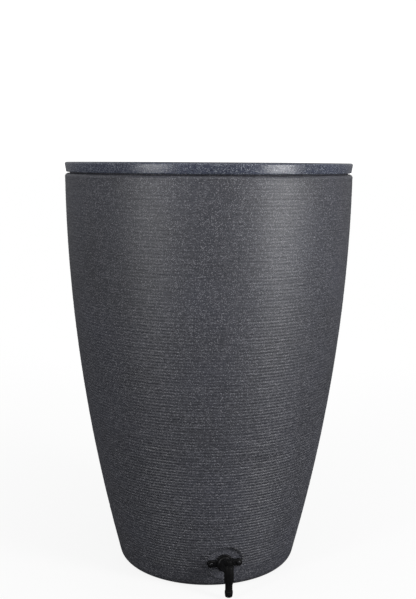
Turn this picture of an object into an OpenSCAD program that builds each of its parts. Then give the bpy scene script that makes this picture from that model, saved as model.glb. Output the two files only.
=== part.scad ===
// Urn-shaped rain barrel with a lift-off planter top, a screw-flanged tap and a rear overflow.
// Millimetres, +Z up. Origin on the barrel's own axis at the underside of its base.
// The front is -Y. The tap's flat sits a few degrees round from the front, towards +X.

/* [Barrel] */
// height of the body's top edge, below the planter's band
body_h = 851; // [700:1:1000]
// largest radius, reached at the top edge
top_r = 305; // [270:1:360]
// radius the wall would reach at the floor, before the corner is rounded
base_r = 190; // [170:1:220]
// how quickly the wall sweeps in towards the base
sweep_power = 1.93; // [1.7:0.01:2.1]
// thickness of the moulded wall
wall_t = 4; // [3:0.5:6]
// radius of the corner between wall and floor
corner_r = 24; // [18:1:30]
// radius of the shoulder under the planter's band
shoulder_r = 7; // [5:0.5:8]

/* [Planter] */
// height of the band above the body's top edge, dark gap included
band_h = 23; // [21:0.5:32]
// dark gap left between the body and the band
band_gap = 2.5; // [2:0.5:4]
// how much narrower the band is at its lower edge, in radius
band_draft = 2.4; // [0:0.2:3]
// depth of the planting bowl below the rim
bowl_depth = 134; // [100:1:170]
// radius of the sleeve that lets the downspout's water through
sleeve_r = 66; // [55:1:72]
// number of drain holes in the bowl's floor
drain_count = 8; // [4:1:12]

/* [Tap] */
// angle of the tap round from the front
tap_az = 10.7; // [0:0.1:30]
// height of the tap's centre line
tap_z = 60; // [60:1:80]
// radius of the round flat moulded for the tap
pad_r = 38; // [38:0.5:44]
// distance between the two ear screws
ear_span = 57.8; // [56:0.1:60]
// distance from the flat to the valve's upright axis
valve_out = 46; // [44:1:56]
// turn of the knob away from closed
knob_turn = 0; // [0:1:90]

/* [Overflow] */
// height of the overflow's centre line
overflow_z = 790; // [640:1:800]
// outside radius of the overflow's hose tail
overflow_tail_r = 12.7; // [10:0.1:16]

/* [Screen] */
// spacing of the screen's wires
mesh_pitch = 9; // [7:0.5:12]

/* [Hidden] */
$fn = 96;
eps = 0.01;
wall_bands = 14;
floor_t = 5;
// body profile
wall_slope = (top_r - base_r) * sweep_power / body_h;
wall_lean = atan(wall_slope);
corner_z = corner_r * (1 - sin(wall_lean));
function wall_at(z) = top_r - (top_r - base_r) * pow(max(0, 1 - z / body_h), sweep_power);
corner_cx = wall_at(corner_z) - corner_r * cos(wall_lean);
inner_corner_r = corner_r - wall_t;
shoulder_z = body_h - shoulder_r;
// neck and planter
neck_inset = 10;
neck_out = top_r - neck_inset;
neck_in = neck_out - wall_t;
neck_foot = 4;
neck_blend = 6;
seat_gap = 0.3;
flange_t = 4;
rim_z = body_h + band_h;
flange_z = rim_z - flange_t;
neck_rise = flange_z - seat_gap;
skirt_t = 4;
skirt_in = top_r - skirt_t;
skirt_mid = top_r - band_draft - skirt_t / 2;
skirt_z = body_h + band_gap;
rim_round = 4;
bowl_inset = 22;
bowl_r = top_r - bowl_inset;
bowl_wall = 4;
bowl_taper = 15;
bowl_floor_r = bowl_r - bowl_taper;
bowl_z = rim_z - bowl_depth;
bowl_corner = 20;
sleeve_wall = 4;
sleeve_inset = 10;
sleeve_drop = 12;
sleeve_y = bowl_floor_r - bowl_wall - sleeve_r - sleeve_wall - sleeve_inset;
sleeve_top = rim_z - sleeve_drop;
drain_r = 4;
drain_ring = 150;
drain_step = 32;
// tap
pad_t = 5.5;
pad_set = 4.9;
pad_rho = wall_at(tap_z) - pad_set;
pad_reach = 30;
hole_reach = 20;
shank_r = 13;
shank_bore = 9;
shank_hole = 13.4;
shank_in = 20;
gasket_t = 2;
gasket_r = 17;
inner_gasket_r = 20;
flange_r = 18;
ear_r = 7.8;
ear_bar_h = 13;
ear_face = 7;
ear_back = 0.5;
dome_r = 16.5;
dome_out = 13;
dome_round = 3;
neck_root_r = 13.5;
neck_end_r = 9.5;
port_r = 4.2;
side_port_r = 4;
valve_r = 9.8;
valve_up = 12;
step_high = -22;
step_low = -27;
tail_end = -53;
tail_r = 7.5;
barb_slope = 0.6;
barb_r = 8.3;
barb_low = -45.5;
barb_high = -40.5;
tip_r = 6;
tip_round = 1.5;
spout_bore = 5;
plug_r = 6.4;
running_fit = 0.05;
plug_bore = plug_r + running_fit;
plug_low = -9;
plug_end_gap = 0.3;
plug_high = valve_up - plug_end_gap;
stem_r = 4.5;
stem_bore = stem_r + running_fit;
bonnet_h = 3.5;
stem_proud = 0.5;
stem_top = valve_up + bonnet_h + stem_proud;
drive_w = 5.6;
drive_h = 6;
seal_r = 0.8;
seal_ring = plug_r - seal_r;
seal_levels = [-6.8, 8.2];
knob_r = 6.8;
knob_gap = 0.1;
socket_gap = 0.2;
knob_clear = 0.1;
knob_head_clear = 0.2;
knob_z = stem_top + knob_gap;
knob_hub_h = 9;
knob_bar = 22;
knob_bar_w = 6;
knob_bar_h = 9;
knob_bar_lift = 2;
knob_head_r = 2.6;
knob_head_h = 1.8;
knob_screw_r = 1.4;
knob_screw_len = 9;
knob_pilot_depth = 7;
knob_slot_depth = 0.8;
screw_r = 1.9;
screw_tip_gap = 0.4;
ear_hole_r = 2.2;
pilot_r = 1.95;
pilot_depth = 4.4;
screw_head_r = 3.8;
screw_head_h = 2.6;
slot_w = 1;
slot_depth = 1.2;
slot_rim = 1.2;
nut_t = 10;
nut_r = 22;
nut_bore = shank_r + running_fit;
nut_flange_t = 2;
nut_sides = 6;
// overflow
over_pad_r = 30;
over_pad_t = 5;
over_pad_set = 4.3;
over_pad_reach = 12;
over_rho = wall_at(overflow_z) - over_pad_set;
over_flange_r = 21;
over_flange_t = 5;
over_gasket_r = 19;
over_hex_r = 18;
over_hex_t = 8;
over_tail = 26;
over_bore = 8.5;
over_shank_in = 13;
over_nut_t = 6;
over_gasket_t = 1.6;
over_barb = 0.9;
over_land = 8;
over_ridges = [10, 16.8];
over_ridge_rise = 3.9;
over_ridge_flat = 0.8;
over_tip = 0.6;
// screen
ring_gap = 0.5;
frame_out = sleeve_r - ring_gap;
frame_wall = 3.5;
frame_in = frame_out - frame_wall;
frame_cover = 8;
frame_flange = sleeve_r + frame_cover;
frame_flange_t = 3;
frame_edge = 1;
frame_deep = 16;
frame_lip = 6;
frame_lip_t = 2;
mesh_t = 1.2;
mesh_gap = 0.4;
mesh_r = frame_in - mesh_gap;
mesh_rim = 0.5;
clamp_t = 2;
clamp_screws = 6;
clamp_screw_r = 1.3;
clamp_hole_r = 1.4;
frame_hole_r = 1.35;
clamp_screw_proud = 0.5;
clamp_head_r = 2.4;
clamp_head_h = 1.4;
clamp_pcr = frame_in - frame_lip / 2;
screen_z = sleeve_top + seat_gap;

// which node to draw

// points on an arc, from angle a0 to a1 in n steps
function arc(cx, cz, r, a0, a1, n) =
    [for (i = [0:n]) [cx + r * cos(a0 + (a1 - a0) * i / n), cz + r * sin(a0 + (a1 - a0) * i / n)]];

// points up the wall, from height z0 to z1, set in by t
function wall_line(z0, z1, t) =
    [for (i = [1:wall_bands]) let (z = z0 + (z1 - z0) * i / wall_bands) [wall_at(z) - t, z]];

// tap frame: origin on the flat's centre, outwards is -Y, up is +Z
module at_tap() {
    rotate([0, 0, tap_az])
        translate([0, -pad_rho, tap_z])
            children();
}

// overflow frame: origin on the rear flat's centre, outwards is -Y
module at_overflow() {
    rotate([0, 0, 180])
        translate([0, -over_rho, overflow_z])
            children();
}

// a round bar along the outward axis, from depth y0 to y1
module outward(r, y0, y1) {
    translate([0, -y0, 0])
        rotate([90, 0, 0])
            cylinder(h = y1 - y0, r = r);
}

// the valve's own upright axis
module at_valve() {
    at_tap()
        translate([0, -valve_out, 0])
            rotate([0, 0, knob_turn])
                children();
}

// outside of the body as one solid of revolution
module body_solid() {
    rotate_extrude()
        polygon(concat([[0, 0]],
            arc(corner_cx, corner_r, corner_r, -90, -wall_lean, 5),
            wall_line(corner_z, shoulder_z, 0),
            arc(wall_at(shoulder_z) - shoulder_r, shoulder_z, shoulder_r, 0, 90, 4),
            [[neck_out, body_h], [neck_out, neck_rise], [0, neck_rise]]));
}

// the space inside the body
module body_space() {
    rotate_extrude()
        polygon(concat([[0, floor_t]],
            arc(corner_cx, floor_t + inner_corner_r, inner_corner_r, -90, -wall_lean, 4),
            wall_line(corner_z + floor_t, shoulder_z - neck_blend, wall_t),
            [[neck_in, body_h - neck_foot], [neck_in, neck_rise + 1], [0, neck_rise + 1]]));
}

// moulded polyethylene barrel: wall, floor, neck and the two flats for the fittings
module barrel_shell() {
    color([0.27, 0.27, 0.29])
    difference() {
        union() {
            difference() {
                body_solid();
                body_space();
            }
            intersection() {
                body_solid();
                union() {
                    at_tap()
                        outward(pad_r + wall_t, -pad_t, pad_reach);
                    at_overflow()
                        outward(over_pad_r + wall_t, -over_pad_t, over_pad_reach);
                }
            }
            at_tap()
                outward(pad_r, -pad_t, 0);
        }
        at_tap() {
            outward(pad_r, 0, pad_reach + 1);
            outward(shank_hole, -pad_t - hole_reach, 1);
            for (side = [-1, 1])
                translate([side * ear_span / 2, 0, 0])
                    outward(pilot_r, -pilot_depth, 1);
        }
        at_overflow() {
            outward(over_pad_r, 0, over_pad_reach + 1);
            outward(shank_hole, -over_pad_t - hole_reach, 1);
        }
    }
}

// two-eared tap body: shank through the wall, dome, neck, upright valve barrel and hose tail
module tap_body() {
    color([0.05, 0.05, 0.055])
    at_tap()
    difference() {
        union() {
            outward(shank_r, -shank_in, gasket_t + eps);
            outward(flange_r, gasket_t, ear_face);
            rotate([90, 0, 0])
                dome_and_neck();
            for (side = [-1, 1])
                translate([side * ear_span / 2, 0, 0])
                    outward(ear_r, ear_back, ear_face);
            translate([-ear_span / 2, -ear_face, -ear_bar_h / 2])
                cube([ear_span, ear_face - gasket_t, ear_bar_h]);
            translate([0, -valve_out, 0])
                valve_barrel();
        }
        outward(shank_bore, -shank_in - 1, ear_face);
        outward(port_r, 0, valve_out);
        for (side = [-1, 1])
            translate([side * ear_span / 2, 0, 0])
                outward(ear_hole_r, 0, ear_face + 1);
        translate([0, -valve_out, plug_low])
            cylinder(h = valve_up - plug_low + 1, r = plug_bore);
        translate([0, -valve_out, tail_end - 1])
            cylinder(h = plug_low - tail_end + 2, r = spout_bore);
    }
}

// round dome on the flange, running out into the tapered neck
module dome_and_neck() {
    rotate_extrude()
        polygon(concat([[0, ear_face - 1], [dome_r, ear_face - 1]],
            arc(dome_r - dome_round, dome_out - dome_round, dome_round, 0, 90, 4),
            [[neck_root_r, dome_out], [neck_end_r, valve_out], [0, valve_out]]));
}

// outside of the valve barrel, spout and hose tail about the upright axis
module valve_barrel() {
    rotate_extrude()
        polygon([[0, tail_end], [tip_r, tail_end], [tip_r + tip_round, tail_end + tip_round],
                 [barb_r, barb_low], [barb_r, barb_high], [tail_r, barb_high + barb_slope],
                 [tail_r, step_low], [valve_r, step_high], [valve_r, valve_up], [0, valve_up]]);
}

// flat ring on the outward axis
module flat_ring(r_out, r_in, y0, y1) {
    difference() {
        outward(r_out, y0, y1);
        outward(r_in, y0 - 1, y1 + 1);
    }
}

module tap_gasket() {
    color([0.03, 0.03, 0.03])
    at_tap()
        flat_ring(gasket_r, shank_hole, 0, gasket_t);
}

module tap_inner_gasket() {
    color([0.03, 0.03, 0.03])
    at_tap()
        flat_ring(inner_gasket_r, shank_hole, -pad_t - gasket_t, -pad_t);
}

// six-sided plastic nut with a round flange, run up the shank from inside
module hex_nut(depth, thick) {
    difference() {
        union() {
            translate([0, depth + thick, 0])
                rotate([90, 0, 0])
                    cylinder(h = thick, r = nut_r, $fn = nut_sides);
            outward(nut_r, -depth - nut_flange_t, -depth);
        }
        outward(nut_bore, -depth - thick - 1, 1);
    }
}

module tap_locknut() {
    color([0.07, 0.07, 0.075])
    at_tap()
        hex_nut(pad_t + gasket_t, nut_t);
}

module tap_ear_screws() {
    color([0.62, 0.62, 0.63])
    at_tap()
    for (side = [-1, 1])
        translate([side * ear_span / 2, 0, 0])
            difference() {
                union() {
                    outward(screw_head_r, ear_face, ear_face + screw_head_h);
                    outward(screw_r, -pilot_depth + screw_tip_gap, ear_face + 1);
                }
                for (turn = [0, 90])
                    rotate([0, turn, 0])
                        translate([-screw_head_r + slot_rim, -ear_face - screw_head_h - 1, -slot_w / 2])
                            cube([2 * (screw_head_r - slot_rim), 1 + slot_depth, slot_w]);
            }
}

// screwed collar that keeps the plug down in the valve barrel
module tap_bonnet() {
    color([0.06, 0.06, 0.065])
    at_tap()
        translate([0, -valve_out, valve_up])
            difference() {
                cylinder(h = bonnet_h, r = valve_r);
                translate([0, 0, -1])
                    cylinder(h = bonnet_h + 2, r = stem_bore);
            }
}

// turning plug with a side port and an open foot
module tap_plug() {
    color([0.78, 0.78, 0.76])
    at_valve()
    difference() {
        union() {
            translate([0, 0, plug_low + plug_end_gap])
                cylinder(h = plug_high - plug_low - plug_end_gap, r = plug_r);
            cylinder(h = stem_top, r = stem_r);
            translate([-drive_w / 2, -drive_w / 2, stem_top - eps])
                cube([drive_w, drive_w, drive_h]);
        }
        translate([0, 0, plug_low])
            cylinder(h = -plug_low, r = port_r);
        rotate([0, 90, 0])
            cylinder(h = plug_r + 1, r = side_port_r);
        for (level = seal_levels)
            translate([0, 0, level])
                rotate_extrude()
                    translate([plug_r - 2 * seal_r, -seal_r])
                        square([2 * seal_r + 1, 2 * seal_r]);
        translate([0, 0, stem_top + drive_h - knob_pilot_depth])
            cylinder(h = knob_pilot_depth + 1, r = knob_screw_r + running_fit);
    }
}

module tap_plug_seals() {
    color([0.03, 0.03, 0.03])
    at_valve()
    for (level = seal_levels)
        translate([0, 0, level])
            rotate_extrude()
                translate([seal_ring, 0])
                    circle(r = seal_r, $fn = 24);
}

// two-winged knob on the plug's square drive
module tap_knob() {
    color([0.05, 0.05, 0.055])
    at_valve()
    difference() {
        union() {
            translate([0, 0, knob_z])
                cylinder(h = knob_hub_h, r = knob_r);
            translate([-knob_bar / 2 + knob_bar_w / 2, -knob_bar_w / 2, knob_z + knob_bar_lift])
                cube([knob_bar - knob_bar_w, knob_bar_w, knob_bar_h]);
            for (side = [-1, 1])
                translate([side * (knob_bar - knob_bar_w) / 2, 0, knob_z + knob_bar_lift])
                    cylinder(h = knob_bar_h, r = knob_bar_w / 2);
        }
        translate([-drive_w / 2 - running_fit, -drive_w / 2 - running_fit, knob_z - 1])
            cube([drive_w + 2 * running_fit, drive_w + 2 * running_fit, drive_h + 1 + socket_gap]);
        translate([0, 0, knob_z])
            cylinder(h = knob_hub_h + 1, r = knob_screw_r + knob_clear);
        translate([0, 0, knob_z + knob_hub_h])
            cylinder(h = knob_bar_h, r = knob_head_r + knob_head_clear);
    }
}

module tap_knob_screw() {
    color([0.62, 0.62, 0.63])
    at_valve()
    difference() {
        union() {
            translate([0, 0, knob_z + knob_hub_h])
                cylinder(h = knob_head_h, r = knob_head_r);
            translate([0, 0, knob_z + knob_hub_h - knob_screw_len])
                cylinder(h = knob_screw_len + 1, r = knob_screw_r);
        }
        translate([-slot_w / 2, -knob_head_r, knob_z + knob_hub_h + knob_head_h - knob_slot_depth])
            cube([slot_w, 2 * knob_head_r, knob_slot_depth + 1]);
    }
}

// overflow adaptor: shank through the rear wall, flange, spanner hexagon and ribbed hose tail
module overflow_body() {
    color([0.05, 0.05, 0.055])
    at_overflow()
    difference() {
        union() {
            outward(shank_r, -over_shank_in, over_gasket_t + 1);
            outward(over_flange_r, over_gasket_t, over_flange_t);
            translate([0, -over_flange_t + 1, 0])
                rotate([90, 0, 0])
                    cylinder(h = over_hex_t + 1, r = over_hex_r, $fn = nut_sides);
            translate([0, -over_flange_t - over_hex_t, 0])
                rotate([90, 0, 0])
                    overflow_tail();
        }
        outward(over_bore, -over_shank_in - 1, over_flange_t + over_hex_t + over_tail + 1);
    }
}

// hose tail about its own axis, starting at the hexagon's face
module overflow_tail() {
    valley = overflow_tail_r - over_barb;
    rotate_extrude()
        polygon(concat(
            [[0, -1], [overflow_tail_r, -1], [overflow_tail_r, over_land], [valley, over_land]],
            [for (foot = over_ridges)
                each [[valley, foot], [overflow_tail_r, foot + over_ridge_rise],
                      [overflow_tail_r, foot + over_ridge_rise + over_ridge_flat],
                      [valley, foot + over_ridge_rise + over_ridge_flat]]],
            [[valley - over_tip, over_tail], [0, over_tail]]));
}

module overflow_gasket() {
    color([0.03, 0.03, 0.03])
    at_overflow()
        flat_ring(over_gasket_r, shank_hole, 0, over_gasket_t);
}

module overflow_inner_gasket() {
    color([0.03, 0.03, 0.03])
    at_overflow()
        flat_ring(over_gasket_r, shank_hole, -over_pad_t - over_gasket_t, -over_pad_t);
}

module overflow_locknut() {
    color([0.07, 0.07, 0.075])
    at_overflow()
        hex_nut(over_pad_t + over_gasket_t, over_nut_t);
}

// planting bowl, flange and outer band in one moulding, with a sleeve for the downspout's water
module planter_tray() {
    bowl_floor = bowl_z + bowl_wall;
    color([0.25, 0.26, 0.29])
    difference() {
        union() {
            rotate_extrude()
                polygon(concat([[0, bowl_z]],
                    arc(bowl_floor_r - bowl_corner, bowl_z + bowl_corner, bowl_corner, -90, 0, 5),
                    [[bowl_r, flange_z], [skirt_in, flange_z]],
                    arc(skirt_mid, skirt_z + skirt_t / 2, skirt_t / 2, 180, 360, 6),
                    arc(top_r - rim_round, rim_z - rim_round, rim_round, 0, 90, 4),
                    arc(bowl_r, rim_z - bowl_wall, bowl_wall, 90, 180, 4),
                    arc(bowl_floor_r - bowl_corner, bowl_floor + bowl_corner - bowl_wall,
                        bowl_corner - bowl_wall, 0, -90, 4),
                    [[0, bowl_floor]]));
            translate([0, sleeve_y, bowl_z])
                cylinder(h = sleeve_top - bowl_z, r = sleeve_r + sleeve_wall);
        }
        translate([0, sleeve_y, bowl_z - 1])
            cylinder(h = sleeve_top - bowl_z + 2, r = sleeve_r);
        for (i = [0:drain_count - 1])
            rotate([0, 0, -90 + (i - (drain_count - 1) / 2) * drain_step])
                translate([drain_ring, 0, bowl_z - 1])
                    cylinder(h = bowl_wall + 2, r = drain_r);
    }
}

// the lift-out screen's own axis, at the top of the sleeve
module at_screen() {
    translate([0, sleeve_y, screen_z])
        children();
}

module screen_frame() {
    color([0.06, 0.06, 0.065])
    at_screen()
    difference() {
        rotate_extrude()
            polygon([[frame_in - frame_lip, -frame_deep], [frame_out, -frame_deep],
                     [frame_out, 0], [frame_flange, 0], [frame_flange, frame_flange_t - frame_edge],
                     [frame_flange - frame_edge, frame_flange_t], [frame_in, frame_flange_t],
                     [frame_in, frame_lip_t - frame_deep],
                     [frame_in - frame_lip, frame_lip_t - frame_deep]]);
        for (i = [0:clamp_screws - 1])
            rotate([0, 0, i * 360 / clamp_screws])
                translate([clamp_pcr, 0, -frame_deep - 1])
                    cylinder(h = frame_lip_t + 2, r = frame_hole_r, $fn = 24);
    }
}

module screen_mesh() {
    rows = floor(mesh_r / mesh_pitch);
    color([0.66, 0.67, 0.68])
    at_screen()
    translate([0, 0, frame_lip_t - frame_deep])
    difference() {
        union() {
            difference() {
                cylinder(h = mesh_t, r = mesh_r);
                translate([0, 0, -1])
                    cylinder(h = mesh_t + 2, r = frame_in - frame_lip + mesh_rim);
            }
            intersection() {
                cylinder(h = mesh_t, r = frame_in - frame_lip + 2 * mesh_rim);
                union()
                for (turn = [0, 90], i = [-rows:rows])
                    rotate([0, 0, turn])
                        translate([-mesh_r, i * mesh_pitch - mesh_t / 2, 0])
                            cube([2 * mesh_r, mesh_t, mesh_t]);
            }
        }
        for (i = [0:clamp_screws - 1])
            rotate([0, 0, i * 360 / clamp_screws])
                translate([clamp_pcr, 0, -1])
                    cylinder(h = mesh_t + 2, r = clamp_hole_r, $fn = 24);
    }
}

module screen_clamp_ring() {
    color([0.06, 0.06, 0.065])
    at_screen()
    translate([0, 0, frame_lip_t - frame_deep + mesh_t])
    difference() {
        cylinder(h = clamp_t, r = mesh_r);
        translate([0, 0, -1])
            cylinder(h = clamp_t + 2, r = frame_in - frame_lip);
        for (i = [0:clamp_screws - 1])
            rotate([0, 0, i * 360 / clamp_screws])
                translate([clamp_pcr, 0, -1])
                    cylinder(h = clamp_t + 2, r = clamp_hole_r, $fn = 24);
    }
}

module screen_screws() {
    color([0.62, 0.62, 0.63])
    at_screen()
    translate([0, 0, frame_lip_t - frame_deep + mesh_t + clamp_t])
    for (i = [0:clamp_screws - 1])
        rotate([0, 0, i * 360 / clamp_screws])
            translate([clamp_pcr, 0, 0]) {
                cylinder(h = clamp_head_h, r = clamp_head_r, $fn = 24);
                translate([0, 0, -clamp_t - mesh_t - frame_lip_t])
                    cylinder(h = clamp_t + mesh_t + frame_lip_t + clamp_screw_proud, r = clamp_screw_r,
                             $fn = 24);
            }
}

barrel_shell();
tap_body();
tap_gasket();
tap_inner_gasket();
tap_locknut();
tap_ear_screws();
tap_bonnet();
tap_plug();
tap_plug_seals();
tap_knob();
tap_knob_screw();
overflow_body();
overflow_gasket();
overflow_inner_gasket();
overflow_locknut();
planter_tray();
screen_frame();
screen_mesh();
screen_clamp_ring();
screen_screws();
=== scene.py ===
from math import asin, atan, cos, degrees, hypot, pi, radians, sin, sqrt

import bmesh
import bpy
from mathutils import Matrix, Vector, noise


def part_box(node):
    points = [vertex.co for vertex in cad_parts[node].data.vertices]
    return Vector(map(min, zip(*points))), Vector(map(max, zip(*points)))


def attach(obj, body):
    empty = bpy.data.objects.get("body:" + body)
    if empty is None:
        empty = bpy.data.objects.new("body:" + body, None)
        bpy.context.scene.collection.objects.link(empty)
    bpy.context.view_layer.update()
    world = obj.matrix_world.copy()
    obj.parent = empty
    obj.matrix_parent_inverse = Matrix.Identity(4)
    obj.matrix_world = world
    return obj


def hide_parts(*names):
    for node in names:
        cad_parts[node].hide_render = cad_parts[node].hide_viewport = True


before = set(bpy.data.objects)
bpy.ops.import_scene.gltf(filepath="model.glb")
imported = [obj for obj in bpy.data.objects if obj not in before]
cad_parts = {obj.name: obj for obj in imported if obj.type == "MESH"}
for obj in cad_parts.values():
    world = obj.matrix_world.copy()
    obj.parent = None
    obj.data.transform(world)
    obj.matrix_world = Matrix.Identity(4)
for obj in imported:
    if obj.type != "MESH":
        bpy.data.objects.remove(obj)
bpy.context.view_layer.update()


# ---- Barrel ----------------------------------------------------------------------------------
# The barrel is one rotationally moulded shell of charcoal polyethylene, sprinkled with pale and dark
# specks so that it passes for stone. Fine rings run round it from the foot to the shoulder, and a
# smooth round flat is moulded low at the front for the tap and another high at the back.
planter_low, planter_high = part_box("planter_tray")
top_r = 0.305
base_r = 0.190
sweep_power = 1.93
body_h = planter_high.z - 0.023
neck_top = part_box("barrel_shell")[1].z
wall = 0.004
floor_thickness = 0.005
corner_r = 0.024
shoulder_r = 0.007
neck_r = top_r - 0.010
neck_round = 0.0012
neck_foot_r = 0.0015
ring_count = 130
ring_depth = 0.0011
ring_run_in = 0.035
ring_least = 0.2
ring_waver = 0.00022
ring_drift = 0.0005
ring_reach = 0.0025
rough_low = 0.030
barrel_sides = 150
tap_turn = Matrix.Rotation(radians(10.7), 4, "Z")
tap_height = 0.060
tap_flat_r = 0.038
tap_flat_depth = 0.0049
overflow_turn = Matrix.Rotation(pi, 4, "Z")
overflow_height = 0.790
overflow_flat_r = 0.030
overflow_flat_depth = 0.0043
flat_edge = 0.0015
flat_corner = 0.0025
shank_hole_r = 0.0134
outwards = Matrix.Rotation(pi / 2, 4, "X")


def wall_at(height):
    """Radius of the barrel's ribs at their crests."""
    return top_r - (top_r - base_r) * max(0, 1 - height / body_h) ** sweep_power


def arc(centre_r, centre_z, radius, start, end, steps):
    """Points of an arc in the plane of a spun outline, as (radius, height)."""
    turns = [radians(start + (end - start) * i / steps) for i in range(steps + 1)]
    return [(centre_r + radius * cos(a), centre_z + radius * sin(a)) for a in turns]


def spun(outline, sides):
    """A solid of revolution about Z from an outline of (radius, height) points, first to last."""
    shape = bmesh.new()
    corners = [shape.verts.new((r, 0, z)) for r, z in outline]
    for a, b in zip(corners, corners[1:]):
        shape.edges.new((a, b))
    bmesh.ops.spin(shape, geom=shape.verts[:] + shape.edges[:], cent=(0, 0, 0), axis=(0, 0, 1),
                   angle=2 * pi, steps=sides, use_merge=True)
    bmesh.ops.remove_doubles(shape, verts=shape.verts, dist=1e-6)
    bmesh.ops.recalc_face_normals(shape, faces=shape.faces)
    return shape


def loose(shape, name="tool"):
    """An object made of one bmesh."""
    mesh = bpy.data.meshes.new(name)
    shape.to_mesh(mesh)
    shape.free()
    made = bpy.data.objects.new(name, mesh)
    bpy.context.scene.collection.objects.link(made)
    return made


def settle(made):
    """Applies the live modifiers to the object's own mesh."""
    depsgraph = bpy.context.evaluated_depsgraph_get()
    made.data = bpy.data.meshes.new_from_object(made.evaluated_get(depsgraph))
    made.modifiers.clear()


def combine(made, tool, operation):
    """Cuts, keeps or adds the tool's solid, then throws the tool away."""
    step = made.modifiers.new(operation.lower(), "BOOLEAN")
    step.operation = operation
    step.solver = "MANIFOLD"
    step.object = tool
    settle(made)
    bpy.data.objects.remove(tool)


def placed(shape, place):
    """Moves a bmesh to its place."""
    bmesh.ops.transform(shape, matrix=place, verts=shape.verts)
    return shape


def upright(radius, low, high, sides, top_radius=None):
    """A round bar along Z, from one height to another."""
    shape = bmesh.new()
    bmesh.ops.create_cone(shape, cap_ends=True, segments=sides, radius1=radius,
                          radius2=top_radius or radius, depth=high - low)
    return placed(shape, Matrix.Translation((0, 0, (low + high) / 2)))


def rod(radius, start, end, sides=64):
    """A round bar along -Y, from one depth to another."""
    return placed(upright(radius, start, end, sides), outwards)


def smooth(made, angle=32):
    """Smooth shading, with edges sharper than the angle kept crisp."""
    made.data.shade_smooth()
    made.data.set_sharp_from_angle(angle=radians(angle))


class Field:
    """A node's output. Sums on it add Math nodes, and node() adds any other node."""

    def __init__(self, tree, socket=None):
        self.tree = tree
        self.socket = socket

    def node(self, kind, settings=None, inputs=None, output=0):
        made = self.tree.nodes.new("ShaderNode" + kind)
        for name, value in (settings or {}).items():
            if name == "stops":
                while len(made.color_ramp.elements) < len(value):
                    made.color_ramp.elements.new(1)
                for element, (position, colour) in zip(made.color_ramp.elements, value):
                    element.position = position
                    element.color = (*colour, 1)
            else:
                setattr(made, name, value)
        for name, value in (inputs or {}).items():
            if isinstance(value, Field):
                self.tree.links.new(value.socket, made.inputs[name])
            else:
                made.inputs[name].default_value = value
        return Field(self.tree, made.outputs[output] if made.outputs else None)

    def math(self, operation, *values):
        return self.node("Math", {"operation": operation}, dict(enumerate(values)))

    def __add__(self, other):
        return self.math("ADD", self, other)

    def __sub__(self, other):
        return self.math("SUBTRACT", self, other)

    def __rsub__(self, other):
        return self.math("SUBTRACT", other, self)

    def __mul__(self, other):
        return self.math("MULTIPLY", self, other)

    def __gt__(self, other):
        return self.math("GREATER_THAN", self, other)

    def __lt__(self, other):
        return self.math("LESS_THAN", self, other)

    __radd__ = __add__
    __rmul__ = __mul__


def finish(name, paint):
    """A material whose surface is the Principled shader that paint() returns."""
    material = bpy.data.materials.new(name)
    material.use_nodes = True
    material.node_tree.nodes.clear()
    start = Field(material.node_tree)
    spot = start.node("TexCoord", output="Object")
    start.node("OutputMaterial", inputs={"Surface": paint(start, spot)})
    return material


def grains(start, spot, size, share, spread):
    """Mask of round grains: cells of one size, of which a share is filled, each to a spread of its cell."""
    cell = {"Vector": spot, "Scale": 1 / size}
    colour = start.node("TexVoronoi", inputs=cell, output="Color")
    chance = start.node("SeparateColor", inputs={"Color": colour})
    distance = start.node("TexVoronoi", inputs=cell, output="Distance")
    return (chance < share) * (distance < spread)


def mixed(start, mask, under, over):
    """One colour laid over another through a mask."""
    return start.node("Mix", {"data_type": "RGBA"}, {6: under, 7: over, 0: mask}, output=2)


def speckled(name, ground, pale, dark, rough, grain, bite, ringed):
    """Stone-look polyethylene: grains in the ground colour, and where it is ringed, streaks with a painted
    glint and painted shade down the grooves.
    """

    def paint(start, spot):
        cloud = start.node("TexNoise", inputs={"Vector": spot, "Scale": 7.0, "Detail": 3.0})
        tone = start.node("ValToRGB", {"stops": [
            (0.3, [c * 0.88 for c in ground]),
            (0.7, (ground[0] * 1.08, ground[1] * 1.1, ground[2] * 1.16))]}, {"Fac": cloud})
        gloss_and_painted_glint = 0.0
        if ringed:
            # Streaks along the rings: glossier, and lighter in colour as a painted glint on the ridges.
            along = start.node("Mapping", inputs={"Vector": spot, "Scale": (20, 20, 250)})
            streaks = start.node("TexNoise", inputs={"Vector": along, "Scale": 1.0, "Detail": 3.0})
            gloss_and_painted_glint = (streaks - 0.5) * 3.0
            tone = mixed(start, gloss_and_painted_glint, tone, (*[c * 1.5 for c in ground], 1))
            # Painted shade: the colour darkens, unevenly, down the grooves and most round the rims of the
            # flats.
            broken = start.node("TexNoise", inputs={"Vector": spot, "Scale": 60.0, "Detail": 3.0})
            groove = start.node("Attribute", {"attribute_name": "groove"}, output="Fac")
            tone = mixed(start, groove * (broken * 2.2 - 0.8), tone, (*[c * 0.3 for c in ground], 1))
        salt = grains(start, spot, grain, 0.30, 0.42)
        fine_salt = grains(start, spot, grain * 0.55, 0.25, 0.45)
        pepper = grains(start, spot, grain * 0.8, 0.34, 0.5)
        colour = mixed(start, pepper * 0.8, tone, (*dark, 1))
        colour = mixed(start, salt * 0.5 + fine_salt * 0.3, colour, (*pale, 1))
        skin = start.node("TexNoise", inputs={"Vector": spot, "Scale": 420.0, "Detail": 3.0})
        pits = start.node("TexNoise", inputs={"Vector": spot, "Scale": 1500.0, "Detail": 2.0})
        bumps = start.node("Bump", inputs={"Strength": bite, "Distance": 0.0005,
                                           "Height": skin + pits * 0.5 + salt * 0.15})
        return start.node("BsdfPrincipled", inputs={
            "Base Color": colour, "Roughness": skin * 0.25 - gloss_and_painted_glint * 0.04 + (rough - 0.12),
            "Normal": bumps, "Specular IOR Level": 0.5})

    return finish(name, paint)


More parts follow.
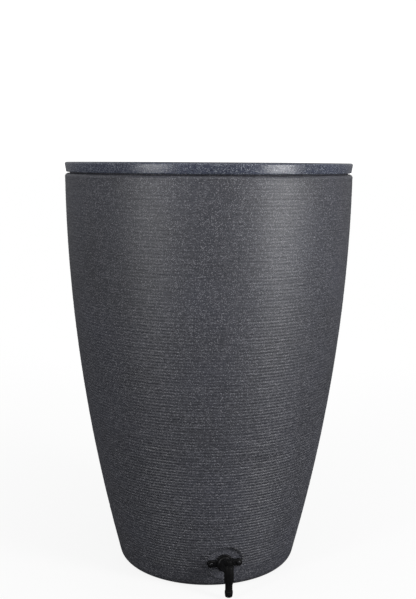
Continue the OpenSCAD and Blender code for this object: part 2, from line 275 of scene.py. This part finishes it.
def kept(shape, name, material, body, replaced, angle=32):
    """A finished piece: its mesh, finish, body, and the frame's nodes that it stands for."""
    made = shape if isinstance(shape, bpy.types.Object) else loose(shape, name)
    made.name = name
    made.data.name = name
    made.data.materials.clear()
    made.data.materials.append(material)
    smooth(made, angle)
    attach(made, body)
    if replaced:
        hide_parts(*replaced)
    return made


def ringed_wall():
    """Outline up the outside of the barrel: rounded ridges between grooves that get shallower upwards."""
    slope = atan((top_r - base_r) * sweep_power / body_h)
    start = corner_r * (1 - sin(slope))
    end = body_h - shoulder_r
    pitch = (end - start) / ring_count
    points = []
    for ring in range(ring_count):
        for part in (0.0, 0.22, 0.5, 0.78):
            height = start + (ring + part) * pitch
            fade = max(ring_least, 0.9 * (1 - (height / body_h) ** 1.8) ** 1.6)
            fade *= min(1, (height - start) / ring_run_in)
            groove = (1 - sin(pi * part) ** 0.8) * ring_depth * fade
            points.append((wall_at(height) - groove, height))
    return points


def roughen(shape):
    """Uneven ridges, as the mould's combed face gives them: each wavers a little on its way round."""
    for corner in shape.verts:
        x, y, z = corner.co
        radius = sqrt(x * x + y * y)
        if radius > wall_at(z) - ring_reach and rough_low < z < body_h - shoulder_r:
            wave = noise.noise(Vector((x * 26, y * 26, z * 210)))
            drift = noise.noise(Vector((x * 9, y * 9, z * 40 + 7)))
            shift = (radius - ring_waver + ring_waver * wave) / radius
            corner.co = (x * shift, y * shift, z + ring_drift * drift)


corner_lean = atan((top_r - base_r) * sweep_power / body_h)
corner_top = corner_r * (1 - sin(corner_lean))
corner_mid = wall_at(corner_top) - corner_r * cos(corner_lean)
inside_foot = floor_thickness + corner_top
inside_top = body_h - 0.013
inside_heights = [inside_foot + (inside_top - inside_foot) * i / 20 for i in range(20, 0, -1)]
barrel = loose(spun(
    [(0, 0)] + arc(corner_mid, corner_r, corner_r, -90, -degrees(corner_lean), 8)[:-1] + ringed_wall()
    + arc(top_r - shoulder_r, body_h - shoulder_r, shoulder_r, 0, 90, 7)
    + arc(neck_r + neck_foot_r, body_h + neck_foot_r, neck_foot_r, -90, -180, 3)
    + arc(neck_r - neck_round, neck_top - neck_round, neck_round, 0, 90, 4)
    + arc(neck_r - wall + neck_round, neck_top - neck_round, neck_round, 90, 180, 4)
    + [(neck_r - wall, body_h - wall)]
    + [(wall_at(z) - wall, z) for z in inside_heights]
    + arc(corner_mid, floor_thickness + corner_r - wall, corner_r - wall, -degrees(corner_lean), -90, 6)
    + [(0, floor_thickness)], barrel_sides))
edit = bmesh.new()
edit.from_mesh(barrel.data)
roughen(edit)
edit.to_mesh(barrel.data)
edit.free()


def moulded_flat(turn, height, depth, radius, thickness, reach):
    """A round smooth flat set into the wall, thickened behind, with a hole for a fitting's shank."""
    place = turn @ Matrix.Translation((0, depth - wall_at(height), height))
    core_reach = 0.055
    core_top = body_h - 0.008
    core_heights = [height - core_reach + 0.01 * i for i in range(12)]
    core = loose(spun([(0, 0.001)] + [(wall_at(z) - 0.0022, z) for z in core_heights if 0.004 < z < core_top]
                      + [(0, min(height + core_reach, core_top))], barrel_sides))
    pad = loose(placed(rod(radius + wall, -thickness, reach, 96), place))
    combine(pad, core, "INTERSECT")
    boss = spun([(0, -thickness), (radius, -thickness)]
                + arc(radius - flat_edge, -flat_edge, flat_edge, 0, 90, 4) + [(0, 0)], 96)
    combine(pad, loose(placed(boss, place @ outwards)), "UNION")
    combine(barrel, pad, "UNION")
    pocket = spun([(0, 0)] + arc(radius - flat_corner, flat_corner, flat_corner, -90, 0, 5)
                  + [(radius, 0.05), (0, 0.05)], 96)
    combine(barrel, loose(placed(pocket, place @ outwards)), "DIFFERENCE")
    combine(barrel, loose(placed(rod(shank_hole_r, -0.03, 0.01), place)), "DIFFERENCE")
    return place


at_tap = moulded_flat(tap_turn, tap_height, tap_flat_depth, tap_flat_r, thickness=0.0055, reach=0.03)
at_overflow = moulded_flat(overflow_turn, overflow_height, overflow_flat_depth, overflow_flat_r,
                           thickness=0.005, reach=0.012)


def note_painted_groove_shade(made):
    """Writes the painted shade for each point: how far down a groove it lies, 0 on a ridge, less towards the
    top, and a painted shadow round the rims of the flats.
    """
    depth = made.data.attributes.new("groove", "FLOAT", "POINT")
    for corner, value in zip(made.data.vertices, depth.data):
        x, y, z = corner.co
        sunk = (wall_at(z) - sqrt(x * x + y * y)) / ring_depth
        if 0 < sunk < 1.4 and corner_top < z < body_h - shoulder_r - 0.001:
            value.value = min(1, sunk) * (1 - 0.9 * z / body_h)
    # A painted shadow round the rims of the flats: their sunken side walls get the darkest value.
    for place, radius in ((at_tap, tap_flat_r), (at_overflow, overflow_flat_r)):
        back = place.inverted()
        for corner, value in zip(made.data.vertices, depth.data):
            spot = back @ corner.co
            away = hypot(spot.x, spot.z)
            if abs(spot.y) < 0.02 and away < radius + 0.0004:
                value.value = 4 * (spot.y < -0.0015 and away > radius - 0.0016)


note_painted_groove_shade(barrel)
barrel_stone = speckled("barrel_stone", ground=(0.047, 0.048, 0.057), pale=(0.34, 0.34, 0.37),
                        dark=(0.010, 0.010, 0.014), rough=0.46, grain=0.0018, bite=0.5, ringed=True)
kept(barrel, "barrel", barrel_stone, "barrel", ["barrel_shell"], 40)


# ---- Planter ---------------------------------------------------------------------------------
# The planter lifts out of the barrel's neck. It is one moulding in the same speckled plastic, smoother
# and bluer than the barrel: a deep bowl, a lip and an outer band that narrows a little downwards, with
# a sleeve through the floor at the back for the downspout's water and drain holes in the floor.
band_low = body_h + 0.0025
band_draft = 0.0024
band_wall = 0.004
lip_round = 0.004
bowl_r = top_r - 0.022
bowl_floor_r = bowl_r - 0.015
bowl_floor = planter_low.z
bowl_corner = 0.020
lip_under = planter_high.z - 0.004
sleeve_r = 0.066
sleeve_y = bowl_floor_r - sleeve_r - 0.018
sleeve_top = planter_high.z - 0.012
drain_ring = 0.150
drain_r = 0.004
drain_count = 8
drain_step = 32
lip_fold = 0.002
sleeve_edge = 0.0015
sleeve_bevel = 0.001
planter_sides = 192

planter = loose(spun(
    [(0, bowl_floor)] + arc(bowl_floor_r - bowl_corner, bowl_floor + bowl_corner, bowl_corner, -90, 0, 10)
    + [(bowl_r - lip_fold, lip_under - 0.012)]
    + arc(bowl_r + lip_fold, lip_under - lip_fold, lip_fold, 180, 90, 3)
    + arc(top_r - band_wall - lip_fold, lip_under - lip_fold, lip_fold, 90, 0, 3)
    + arc(top_r - band_draft - band_wall / 2, band_low + band_wall / 2, band_wall / 2, 180, 360, 10)
    + arc(top_r - lip_round, planter_high.z - lip_round, lip_round, 0, 90, 8)
    + arc(bowl_r, planter_high.z - wall, wall, 90, 180, 8)
    + arc(bowl_floor_r - bowl_corner, bowl_floor + bowl_corner, bowl_corner - wall, 0, -90, 8)
    + [(0, bowl_floor + wall)], planter_sides))
at_sleeve = Matrix.Translation((0, sleeve_y, 0))
sleeve = spun([(0, bowl_floor + 0.001), (sleeve_r + wall, bowl_floor + 0.001)]
              + arc(sleeve_r + wall - sleeve_edge, sleeve_top - sleeve_edge, sleeve_edge, 0, 90, 4)
              + [(0, sleeve_top)], 96)
combine(planter, loose(placed(sleeve, at_sleeve)), "UNION")
well = spun([(0, bowl_floor - 0.01), (sleeve_r, bowl_floor - 0.01), (sleeve_r, sleeve_top - sleeve_bevel),
             (sleeve_r + sleeve_bevel, sleeve_top + 0.0001), (sleeve_r + sleeve_bevel, sleeve_top + 0.01),
             (0, sleeve_top + 0.01)], 96)
combine(planter, loose(placed(well, at_sleeve)), "DIFFERENCE")
for i in range(drain_count):
    turn = Matrix.Rotation(radians(-90 + (i - (drain_count - 1) / 2) * drain_step), 4, "Z")
    drain = upright(drain_r, bowl_floor - wall, bowl_floor + 2 * wall, 24)
    combine(planter, loose(placed(drain, turn @ Matrix.Translation((drain_ring, 0, 0)))), "DIFFERENCE")
planter_stone = speckled("planter_stone", ground=(0.054, 0.060, 0.085), pale=(0.42, 0.45, 0.50),
                         dark=(0.006, 0.007, 0.012), rough=0.17, grain=0.0018, bite=0.55, ringed=False)
kept(planter, "planter", planter_stone, "planter", ["planter_tray"], 40)


# ---- Tap body --------------------------------------------------------------------------------
# The tap is injection-moulded black plastic: a shank through the wall, a flange with an ear for a screw
# on each side, a round dome and a neck that runs out to the upright barrel, whose foot is the hose tail.
ear_span = 0.0578
ear_r = 0.0078
bar_half = 0.0065
flange_r = 0.018
flange_back = 0.002
flange_face = 0.007
dome_r = 0.0165
dome_round = 0.0055
dome_out = 0.013
neck_root_r = 0.0135
neck_end_r = 0.0095
valve_out = 0.046
valve_r = 0.0098
valve_top = 0.012
valve_edge = 0.0008
shank_r = 0.013
thread_root_r = 0.0122
thread_pitch = 0.0018
shank_bore_r = 0.009
port_r = 0.0042
spout_bore_r = 0.005
plug_bore_r = 0.00645
plug_seat = -0.009
ear_hole_r = 0.0022
nozzle_end = -0.053
nozzle_round = 0.0025
nozzle_r = 0.0083
nozzle_neck_r = 0.0075
along_neck = Matrix.Translation((0, -valve_out, 0))
at_valve = at_tap @ along_neck


def black_moulding(name, rough):
    """Black injection-moulded plastic, faintly mottled, with a soft sheen and a fine texture."""

    def paint(start, spot):
        mottle = start.node("TexNoise", inputs={"Vector": spot, "Scale": 160.0, "Detail": 3.0})
        texture = start.node("TexNoise", inputs={"Vector": spot, "Scale": 2600.0, "Detail": 2.0})
        dust = grains(start, spot, 0.0016, 0.05, 0.3)
        colour = mixed(start, dust * 0.4 + mottle * 0.1, (0.0035, 0.0035, 0.0038, 1), (0.04, 0.04, 0.042, 1))
        bumps = start.node("Bump", inputs={"Strength": 0.25, "Distance": 0.0002, "Height": texture + mottle})
        return start.node("BsdfPrincipled", inputs={
            "Base Color": colour, "Roughness": mottle * 0.2 + (rough - 0.1), "Normal": bumps,
            "Specular IOR Level": 0.18})

    return finish(name, paint)


def softened(made, width, angle=35, segments=3):
    """Rounds the edges that are sharper than the angle, as a moulding's are."""
    step = made.modifiers.new("edges", "BEVEL")
    step.width = width
    step.segments = segments
    step.limit_method = "ANGLE"
    step.angle_limit = radians(angle)
    step.harden_normals = False
    settle(made)


def plate(outline, low, high):
    """A flat plate of one outline of (x, y) points, from one height to another."""
    shape = bmesh.new()
    foot = shape.faces.new([shape.verts.new((x, y, low)) for x, y in outline])
    raised = bmesh.ops.extrude_face_region(shape, geom=[foot])
    bmesh.ops.translate(shape, verts=[g for g in raised["geom"] if isinstance(g, bmesh.types.BMVert)],
                        vec=(0, 0, high - low))
    bmesh.ops.recalc_face_normals(shape, faces=shape.faces)
    return shape


def threaded_shank(length, run_in, turns, top):
    """A shank that reaches inwards, with a run of shallow threads from its end."""
    points = [(0, -length), (thread_root_r - 0.0002, -length)]
    for i in range(turns):
        low = run_in - length + i * thread_pitch
        points += [(thread_root_r, low), (shank_r, low + 0.0007), (shank_r, low + 0.0011)]
    return spun(points + [(shank_r, top), (0, top)], 64)


bar_turn = degrees(asin(bar_half / flange_r))
ear_turn = degrees(asin(bar_half / ear_r))
flange = plate(arc(ear_span / 2, 0, ear_r, -180 + ear_turn, 180 - ear_turn, 20)
               + arc(0, 0, flange_r, bar_turn, 180 - bar_turn, 24)
               + arc(-ear_span / 2, 0, ear_r, ear_turn, 360 - ear_turn, 20)
               + arc(0, 0, flange_r, 180 + bar_turn, 360 - bar_turn, 24), flange_back, flange_face)
rim = [e for e in flange.edges if all(v.co.z > flange_face - 1e-5 for v in e.verts)]
bmesh.ops.bevel(flange, geom=rim, offset=0.0012, offset_type="OFFSET", affect="EDGES", segments=3,
                profile=0.5, material=-1)
tap = loose(placed(flange, outwards))
combine(tap, loose(placed(spun(
    [(0, flange_face - 0.001), (dome_r, flange_face - 0.001)]
    + arc(dome_r - dome_round, dome_out - dome_round, dome_round, 0, 62, 8)
    + [(neck_root_r, dome_out + 0.001), (neck_root_r - 0.0008, dome_out + 0.003),
       (neck_end_r, valve_out), (0, valve_out)], 96), outwards)), "UNION")
tap_shank = threaded_shank(length=0.020, run_in=0.001, turns=8, top=0.0035)
combine(tap, loose(placed(tap_shank, outwards)), "UNION")
valve = spun(
    [(0, nozzle_end)] + arc(0.0052, nozzle_end + nozzle_round, nozzle_round, -90, -25, 5)
    + [(nozzle_r, -0.0455), (nozzle_r, -0.0406), (nozzle_neck_r, -0.0399), (nozzle_neck_r, -0.0272)]
    + [(valve_r - 0.0006, -0.0224), (valve_r, -0.0214)]
    + arc(valve_r - valve_edge, valve_top - valve_edge, valve_edge, 0, 90, 4) + [(0, valve_top)], 72)
combine(tap, loose(placed(valve, along_neck)), "UNION")
combine(tap, loose(rod(shank_bore_r, -0.021, flange_face)), "DIFFERENCE")
combine(tap, loose(rod(port_r, 0, valve_out)), "DIFFERENCE")
seat = spun([(0, -0.06), (spout_bore_r, -0.06), (spout_bore_r, plug_seat), (plug_bore_r, plug_seat),
             (plug_bore_r, valve_top + 0.001), (0, valve_top + 0.001)], 64)
combine(tap, loose(placed(seat, along_neck)), "DIFFERENCE")
for side in (-1, 1):
    ear_hole = rod(ear_hole_r, 0, flange_face + 0.001, 32)
    combine(tap, loose(placed(ear_hole, Matrix.Translation((side * ear_span / 2, 0, 0)))), "DIFFERENCE")
tap.data.transform(at_tap)
black_tap = black_moulding("black_tap", 0.42)
kept(tap, "tap", black_tap, "barrel", ["tap_body"], 38)


# ---- Tap screws ------------------------------------------------------------------------------
# Two pan-head screws of dark plated steel, with cross recesses, hold the flange's ears to the barrel's
# flat. A smaller one of the same kind holds the knob, and bright ones the screen's clamp ring.
def metal(name, colour, rough):
    """Bare metal with fine scratches and a little dulling."""

    def paint(start, spot):
        brushed = start.node("Mapping", inputs={"Vector": spot, "Scale": (300, 300, 2600)})
        lines = start.node("TexNoise", inputs={"Vector": brushed, "Scale": 1.0, "Detail": 3.0})
        dull = start.node("TexNoise", inputs={"Vector": spot, "Scale": 120.0, "Detail": 2.0})
        tone = mixed(start, dull, (*colour, 1), (*[c * 0.6 for c in colour], 1))
        bumps = start.node("Bump", inputs={"Strength": 0.2, "Distance": 0.0001, "Height": lines})
        return start.node("BsdfPrincipled", inputs={
            "Base Color": tone, "Metallic": 1.0, "Roughness": lines * 0.2 + rough, "Normal": bumps})

    return finish(name, paint)


def pan_screw(head_r, head_h, thread_r, length, recess):
    """A pan-head screw standing on Z = 0, thread down, with a cross recess."""
    made = loose(spun([(0, -length), (thread_r * 0.4, -length), (thread_r, thread_r - length),
                       (thread_r, 0), (head_r, 0)]
                      + arc(head_r - head_h * 0.6, head_h * 0.4, head_h * 0.6, 0, 90, 6)
                      + [(0, head_h)], 40))
    for turn in (0, 90):
        slot = bmesh.new()
        bmesh.ops.create_cube(slot, size=1)
        bmesh.ops.scale(slot, verts=slot.verts, vec=(recess * 2, recess * 0.36, head_h))
        at_head = Matrix.Translation((0, 0, head_h)) @ Matrix.Rotation(radians(turn), 4, "Z")
        combine(made, loose(placed(slot, at_head)), "DIFFERENCE")
    return made


def joined(parts):
    """Several objects as one."""
    whole = bmesh.new()
    for part in parts:
        whole.from_mesh(part.data)
        bpy.data.objects.remove(part)
    return whole


ear_screws = []
for side in (-1, 1):
    screw = pan_screw(head_r=0.0038, head_h=0.0026, thread_r=0.0019, length=0.011, recess=0.0024)
    screw.data.transform(at_tap @ Matrix.Translation((side * ear_span / 2, -flange_face, 0)) @ outwards
                         @ Matrix.Rotation(radians(20 + 25 * side), 4, "Z"))
    ear_screws.append(screw)
dark_steel = metal("screw_steel", (0.10, 0.10, 0.105), 0.3)
kept(joined(ear_screws), "tap_screws", dark_steel, "barrel", ["tap_ear_screws"])


# ---- Tap valve -------------------------------------------------------------------------------
# A turning plug of white acetal sits in the upright barrel under a screwed collar, with a rubber ring
# above and below its port. A small two-winged knob, screwed to the plug's square top, turns it.
knob_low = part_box("tap_knob")[0].z - tap_height
knob_r = 0.0068
knob_h = 0.009
wing_half = 0.011
wing_w = 0.006
wing_low = knob_low + 0.002
wing_high = knob_low + 0.011
screw_seat_r = 0.0028
screw_way_r = 0.0015
socket_w = 0.0057
socket_depth = 0.0062

knob = loose(upright(knob_r, knob_low, knob_low + knob_h, 56, knob_r * 0.94))
wing = plate(arc(wing_half - wing_w / 2, 0, wing_w / 2, -90, 90, 12)
             + arc(-wing_half + wing_w / 2, 0, wing_w / 2, 90, 270, 12), wing_low, wing_high)
combine(knob, loose(wing), "UNION")
combine(knob, loose(upright(screw_seat_r, knob_low + knob_h, knob_low + 0.02, 32)), "DIFFERENCE")
combine(knob, loose(upright(screw_way_r, knob_low, knob_low + 0.02, 32)), "DIFFERENCE")
socket = bmesh.new()
bmesh.ops.create_cube(socket, size=1)
bmesh.ops.scale(socket, verts=socket.verts, vec=(socket_w, socket_w, 2 * socket_depth))
combine(knob, loose(placed(socket, Matrix.Translation((0, 0, knob_low)))), "DIFFERENCE")
softened(knob, 0.0006, 45)
knob.data.transform(at_valve)
kept(knob, "knob", black_moulding("black_knob", 0.30), "tap_key", ["tap_knob"])
knob_screw = pan_screw(head_r=0.0026, head_h=0.0018, thread_r=0.0014, length=0.010, recess=0.0018)
knob_screw.data.transform(at_valve @ Matrix.Translation((0, 0, knob_low + knob_h)))
kept(knob_screw, "knob_screw", dark_steel, "tap_key", ["tap_knob_screw"])


# ---- Seals, nuts and the plug ----------------------------------------------------------------
# Flat rubber washers on both sides of the wall, moulded locknuts run up the shanks from inside, the
# collar over the valve and the white acetal plug with its two rubber rings are plain turned or moulded
# shapes, so they keep the frame's own meshes and only get their finishes here.
def rubber(start, spot):
    bloom = start.node("TexNoise", inputs={"Vector": spot, "Scale": 90.0, "Detail": 4.0})
    grit = start.node("TexNoise", inputs={"Vector": spot, "Scale": 1800.0, "Detail": 2.0})
    colour = mixed(start, bloom * 0.5, (0.008, 0.008, 0.008, 1), (0.035, 0.034, 0.033, 1))
    bumps = start.node("Bump", inputs={"Strength": 0.3, "Distance": 0.0002, "Height": grit})
    return start.node("BsdfPrincipled", inputs={"Base Color": colour, "Roughness": bloom * 0.2 + 0.62,
                                                "Normal": bumps})


def acetal(start, spot):
    flow = start.node("TexNoise", inputs={"Vector": spot, "Scale": 140.0, "Detail": 3.0})
    colour = mixed(start, flow, (0.72, 0.71, 0.67, 1), (0.60, 0.59, 0.55, 1))
    return start.node("BsdfPrincipled", inputs={"Base Color": colour, "Roughness": flow * 0.2 + 0.28})


seal_rubber = finish("seal_rubber", rubber)
black_nut = black_moulding("black_nut", 0.42)
for node, material in (("tap_gasket", seal_rubber), ("tap_inner_gasket", seal_rubber),
                       ("tap_plug_seals", seal_rubber), ("overflow_gasket", seal_rubber),
                       ("overflow_inner_gasket", seal_rubber), ("tap_locknut", black_nut),
                       ("overflow_locknut", black_nut), ("tap_bonnet", black_nut),
                       ("tap_plug", finish("white_acetal", acetal))):
    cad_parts[node].data.materials.clear()
    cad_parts[node].data.materials.append(material)


# ---- Overflow --------------------------------------------------------------------------------
# The overflow is a black moulded adaptor through the wall high at the back: a flange on a gasket, a
# hexagon for a spanner and a hose tail with two ridges, held from inside by a locknut.
over_flange_r = 0.021
over_flange_back = 0.0016
over_flange_face = 0.005
hexagon_r = 0.018
hexagon_face = 0.013
tail_r = 0.0127
tail_valley_r = 0.0118
tail_end = 0.039
tail_land = 0.008
tail_ridges = (0.010, 0.0168)
over_bore_r = 0.0085
over_edge = 0.001

overflow = loose(spun(
    [(0, over_flange_back), (over_flange_r, over_flange_back)]
    + arc(over_flange_r - over_edge, over_flange_face - over_edge, over_edge, 0, 90, 4)
    + [(0, over_flange_face)], 96))
hexagon = upright(hexagon_r, over_flange_face - 0.001, hexagon_face, 6)
bmesh.ops.bevel(hexagon, geom=hexagon.edges[:], offset=0.0007, offset_type="OFFSET", affect="EDGES",
                segments=3, profile=0.5, material=-1)
combine(overflow, loose(hexagon), "UNION")
combine(overflow, loose(threaded_shank(length=0.013, run_in=0.0005, turns=6, top=0.0025)), "UNION")
tail = [(0, hexagon_face - 0.001), (tail_r, hexagon_face - 0.001),
        (tail_r, hexagon_face + tail_land - 0.0005), (tail_r - 0.0005, hexagon_face + tail_land),
        (tail_valley_r, hexagon_face + tail_land)]
for ridge in tail_ridges:
    foot = hexagon_face + ridge
    tail += [(tail_valley_r, foot), (tail_r - 0.0002, foot + 0.0036), (tail_r, foot + 0.004),
             (tail_r - 0.0001, foot + 0.0046), (tail_valley_r, foot + 0.0048)]
tail += [(tail_valley_r - 0.0006, tail_end - 0.001), (tail_valley_r - 0.0012, tail_end - 0.0002),
         (tail_valley_r - 0.0018, tail_end), (0, tail_end)]
combine(overflow, loose(spun(tail, 72)), "UNION")
combine(overflow, loose(upright(over_bore_r, -0.06, 0.06, 64)), "DIFFERENCE")
overflow.data.transform(at_overflow @ outwards)
black_overflow = black_moulding("black_overflow", 0.38)
kept(overflow, "overflow", black_overflow, "barrel", ["overflow_body"], 38)


# ---- Inlet screen ----------------------------------------------------------------------------
# The screen drops into the planter's sleeve and keeps leaves and insects out of the water: a moulded
# ring with a lip, a disc of woven stainless wire, and a clamp ring held down by six small screws.
screen_low, screen_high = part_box("screen_frame")
screen_z = screen_high.z - 0.003
frame_out = 0.0655
frame_in = 0.062
frame_lip = 0.006
frame_flange = 0.074
frame_foot = screen_low.z
wire_pitch = 0.0032
wire_r = 0.0003
mesh_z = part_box("screen_mesh")[0].z + 0.0006
clamp_low, clamp_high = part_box("screen_clamp_ring")
clamp_gap = 0.0004
clamp_count = 6

ring = spun(
    [(frame_in - frame_lip, frame_foot), (frame_out - 0.001, frame_foot)]
    + arc(frame_out - 0.001, frame_foot + 0.001, 0.001, -90, 0, 3)[1:]
    + [(frame_out, screen_z)] + arc(frame_flange - 0.0007, screen_z + 0.0007, 0.0007, -90, 0, 3)
    + arc(frame_flange - 0.0015, screen_high.z - 0.0015, 0.0015, 0, 90, 5)
    + arc(frame_in + 0.001, screen_high.z - 0.001, 0.001, 90, 180, 4)
    + [(frame_in, frame_foot + 0.002), (frame_in - frame_lip, frame_foot + 0.002),
       (frame_in - frame_lip, frame_foot)], 120)
black_frame = black_moulding("black_frame", 0.36)
kept(placed(ring, at_sleeve), "screen_ring", black_frame, "inlet_screen", ["screen_frame"])

weave = bpy.data.curves.new("weave", "CURVE")
weave.dimensions = "3D"
weave.bevel_depth = wire_r
weave.bevel_resolution = 1
reach = frame_in - frame_lip + 0.004
lines = int(reach / wire_pitch)
for across in (0, 1):
    for line in range(-lines, lines + 1):
        half = sqrt(reach ** 2 - (line * wire_pitch) ** 2)
        crossings = int(half / (wire_pitch / 2))
        wire = weave.splines.new("POLY")
        wire.points.add(2 * crossings)
        for step in range(-crossings, crossings + 1):
            rise = wire_r * (1 if (step // 2 + line + across) % 2 else -1) * (step % 2 == 0)
            along, side = step * wire_pitch / 2, line * wire_pitch
            x, y = (side, along) if across else (along, side)
            wire.points[step + crossings].co = (x, sleeve_y + y, mesh_z + rise, 1)
cloth = bpy.data.objects.new("cloth", weave)
bpy.context.scene.collection.objects.link(cloth)
woven = bpy.data.objects.new("insect_mesh", bpy.data.meshes.new_from_object(
    cloth.evaluated_get(bpy.context.evaluated_depsgraph_get())))
bpy.context.scene.collection.objects.link(woven)
bpy.data.objects.remove(cloth)
kept(woven, "insect_mesh", metal("mesh_steel", (0.55, 0.56, 0.57), 0.28), "inlet_screen", ["screen_mesh"])

clamp = spun(
    [(frame_in - frame_lip, clamp_low.z), (frame_in - clamp_gap, clamp_low.z),
     (frame_in - clamp_gap, clamp_high.z - 0.0005), (frame_in - clamp_gap - 0.0005, clamp_high.z),
     (frame_in - frame_lip + 0.0006, clamp_high.z), (frame_in - frame_lip, clamp_high.z - 0.0006),
     (frame_in - frame_lip, clamp_low.z)], 120)
kept(placed(clamp, at_sleeve), "clamp_ring", black_frame, "inlet_screen", ["screen_clamp_ring"])
clamp_screws = []
for i in range(clamp_count):
    screw = pan_screw(head_r=0.0024, head_h=0.0014, thread_r=0.0013, length=0.005, recess=0.0016)
    screw.data.transform(at_sleeve @ Matrix.Rotation(2 * pi * i / clamp_count, 4, "Z")
                         @ Matrix.Translation((frame_in - frame_lip / 2, 0, clamp_high.z)))
    clamp_screws.append(screw)
bright_steel = metal("bright_steel", (0.5, 0.5, 0.51), 0.28)
kept(joined(clamp_screws), "clamp_screws", bright_steel, "inlet_screen", ["screen_screws"])


# ---- Studio ----------------------------------------------------------------------------------
# A wide pale floor that brightens into a white surround, a tall soft light on each side of the front,
# one overhead and a low one behind. The floor throws no light back up at the barrel.
floor_shape = bmesh.new()
bmesh.ops.create_circle(floor_shape, cap_ends=True, segments=96, radius=60)
floor = loose(floor_shape, "floor")


def pale_floor(start, spot):
    patches = start.node("TexNoise", inputs={"Vector": spot, "Scale": 1.5, "Detail": 3.0})
    distance = start.node("VectorMath", {"operation": "LENGTH"}, {0: spot}, output="Value")
    far = start.node("MapRange", inputs={"Value": distance, "From Min": 0.3, "From Max": 2.6})
    near_floor = start.node("BsdfDiffuse", inputs={"Color": (0.88, 0.88, 0.88, 1),
                                                   "Roughness": patches * 0.1})
    white = start.node("Emission", inputs={"Color": (1, 1, 1, 1), "Strength": 1.0})
    return start.node("MixShader", inputs={0: far * 0.12 + 0.88, 1: near_floor, 2: white})


floor.data.materials.append(finish("pale_floor", pale_floor))
floor.visible_diffuse = False
floor.visible_glossy = False

sky = bpy.data.worlds.new("surround")
sky.use_nodes = True
sky.node_tree.nodes.clear()
air = Field(sky.node_tree)
upward = air.node("SeparateXYZ", inputs={0: air.node("TexCoord", output="Generated")}, output="Z")
glow = air.node("MapRange", inputs={"Value": upward, "From Min": -0.3, "From Max": 0.3,
                                    "To Min": 0.03, "To Max": 0.4})
seen = air.node("LightPath", output="Is Camera Ray")
air.node("OutputWorld", inputs={"Surface": air.node("Background", inputs={
    "Color": (1, 1, 1, 1), "Strength": glow + seen})})
bpy.context.scene.world = sky
bpy.context.scene.view_settings.view_transform = "Standard"


def soft_light(name, azimuth, distance, height, width, tall, power):
    """A rectangular light round from the front, facing the barrel's middle."""
    lamp = bpy.data.lights.new(name, "AREA")
    lamp.shape = "RECTANGLE"
    lamp.size = width
    lamp.size_y = tall
    lamp.energy = power
    holder = bpy.data.objects.new(name, lamp)
    turn = radians(azimuth)
    holder.location = (distance * sin(turn), -distance * cos(turn), height)
    holder.rotation_euler = (Vector((0, 0, 0.6)) - holder.location).to_track_quat("-Z", "Y").to_euler()
    holder.visible_camera = False
    bpy.context.scene.collection.objects.link(holder)


soft_light("light_right", azimuth=54, distance=2.6, height=1.05, width=0.55, tall=2.2, power=60)
soft_light("light_left", azimuth=-41, distance=2.8, height=1.05, width=0.35, tall=2.1, power=32)
soft_light("light_top", azimuth=10, distance=1.2, height=2.8, width=2.0, tall=2.0, power=8)
soft_light("light_back", azimuth=178, distance=2.8, height=0.45, width=1.4, tall=0.6, power=32)

eye_back = 1.991
eye_height = 0.880
eye_tilt = 8.64
eye_roll = 0.366
eye = bpy.data.cameras.new("eye")
eye.sensor_width = 36
eye.lens = 55.3
viewer = bpy.data.objects.new("eye", eye)
viewer.matrix_world = (Matrix.Translation((0, -eye_back, eye_height))
                       @ Matrix.Rotation(radians(90 - eye_tilt), 4, "X")
                       @ Matrix.Rotation(radians(eye_roll), 4, "Z"))
bpy.context.scene.collection.objects.link(viewer)
bpy.context.scene.camera = viewer
